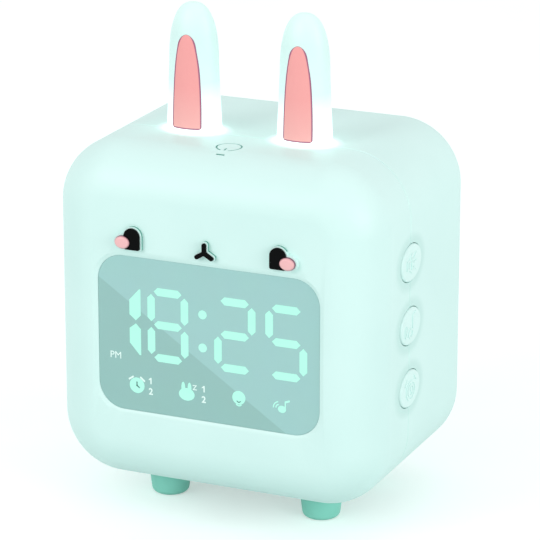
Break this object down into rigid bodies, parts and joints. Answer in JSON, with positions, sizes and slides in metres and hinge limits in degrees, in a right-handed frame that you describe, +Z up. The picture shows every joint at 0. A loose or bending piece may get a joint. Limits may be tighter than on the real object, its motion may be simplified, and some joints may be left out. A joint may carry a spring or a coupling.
{
  "type": "kids alarm clock with night light",
  "caption": "Rounded cube desk clock with glowing upright ears, raised face, segment time display, sprung side buttons and round feet.",
  "frame": {"origin": "on the table, under the middle of the clock's bounding box", "axes": "+X to the clock's right as its face is looked at, +Y to the back, +Z up"},
  "size_m": [0.0892, 0.0674, 0.1295],
  "materials": {
    "mint_shell": "satin moulded ABS",
    "mint_button": "satin moulded ABS",
    "smoked_window": "gloss acrylic, tinted from behind",
    "adhesive": "black foam tape",
    "lit_diffuser": "milky light guide",
    "mask_plastic": "grey-green moulding",
    "black_ink": "gloss black inlay",
    "pink_plastic": "satin moulded ABS",
    "ear_diffuser": "milky translucent moulding",
    "foot_rubber": "soft-touch moulding",
    "circuit_board": "green solder mask",
    "chip_black": "moulded chip",
    "led_white": "clear encapsulant",
    "white_nylon": "moulded nylon",
    "steel_screw": "zinc plated",
    "copper_foil": "foil",
    "cell_wrap": "shrink sleeve",
    "socket_steel": "drawn and plated",
    "speaker_black": "black stamped basket",
    "paper_cone": "pressed paper",
    "foam_ring": "closed-cell foam",
    "plug_rubber": "silicone rubber",
    "magnet_ferrite": "ferrite",
    "lead_cover": "flexible cover"
  },
  "bodies": {
    "clock": {"front_shell": "mint_shell", "rear_shell": "mint_shell", "display_window": "smoked_window", "window_tape": "adhesive", "segment_mask": "mask_plastic", "time_digits": "lit_diffuser", "status_icons": "lit_diffuser", "main_board": "circuit_board", "display_leds": "led_white", "main_chips": "chip_black", "lead_plugs": "white_nylon", "eye_left": "black_ink", "eye_right": "black_ink", "nose": "black_ink", "cheek_left": "pink_plastic", "cheek_right": "pink_plastic", "ear_left": "ear_diffuser", "ear_right": "ear_diffuser", "inner_ear_left": "pink_plastic", "inner_ear_right": "pink_plastic", "ear_clamp": "white_nylon", "ear_light_board_left": "circuit_board", "ear_light_board_right": "circuit_board", "ear_leds": "led_white", "touch_plate": "copper_foil", "tact_switches_left": "chip_black", "tact_switches_right": "chip_black", "switch_board_left": "circuit_board", "switch_board_right": "circuit_board", "foot_front_left": "foot_rubber", "foot_front_right": "foot_rubber", "foot_rear_left": "foot_rubber", "foot_rear_right": "foot_rubber", "battery_cell": "cell_wrap", "battery_holder": "white_nylon", "usb_socket": "socket_steel", "usb_board": "circuit_board", "speaker_frame": "speaker_black", "speaker_cone": "paper_cone", "speaker_magnet": "magnet_ferrite", "speaker_gasket": "foam_ring", "housing_screws": "steel_screw", "screw_plugs": "plug_rubber", "small_screws": "steel_screw", "battery_leads": "lead_cover", "speaker_leads": "lead_cover"},
    "volume_key": {"volume_button": "mint_button", "volume_plunger": "white_nylon"},
    "melody_key": {"melody_button": "mint_button", "melody_plunger": "white_nylon"},
    "alarm_key": {"alarm_button": "mint_button", "alarm_plunger": "white_nylon"},
    "clock_set_key": {"clock_set_button": "mint_button", "clock_set_plunger": "white_nylon"},
    "plus_key": {"plus_button": "mint_button", "plus_plunger": "white_nylon"},
    "minus_key": {"minus_button": "mint_button", "minus_plunger": "white_nylon"}
  },
  "joints": [
    {"name": "volume_press", "type": "slide", "parent": "clock", "child": "volume_key", "axis": [-1, 0, 0], "range_m": [0, 0.0007], "stiffness_N_per_m": 900},
    {"name": "melody_press", "type": "slide", "parent": "clock", "child": "melody_key", "axis": [-1, 0, 0], "range_m": [0, 0.0007], "stiffness_N_per_m": 900},
    {"name": "alarm_press", "type": "slide", "parent": "clock", "child": "alarm_key", "axis": [-1, 0, 0], "range_m": [0, 0.0007], "stiffness_N_per_m": 900},
    {"name": "clock_set_press", "type": "slide", "parent": "clock", "child": "clock_set_key", "axis": [1, 0, 0], "range_m": [0, 0.0007], "stiffness_N_per_m": 900},
    {"name": "plus_press", "type": "slide", "parent": "clock", "child": "plus_key", "axis": [1, 0, 0], "range_m": [0, 0.0007], "stiffness_N_per_m": 900},
    {"name": "minus_press", "type": "slide", "parent": "clock", "child": "minus_key", "axis": [1, 0, 0], "range_m": [0, 0.0007], "stiffness_N_per_m": 900}
  ]
}
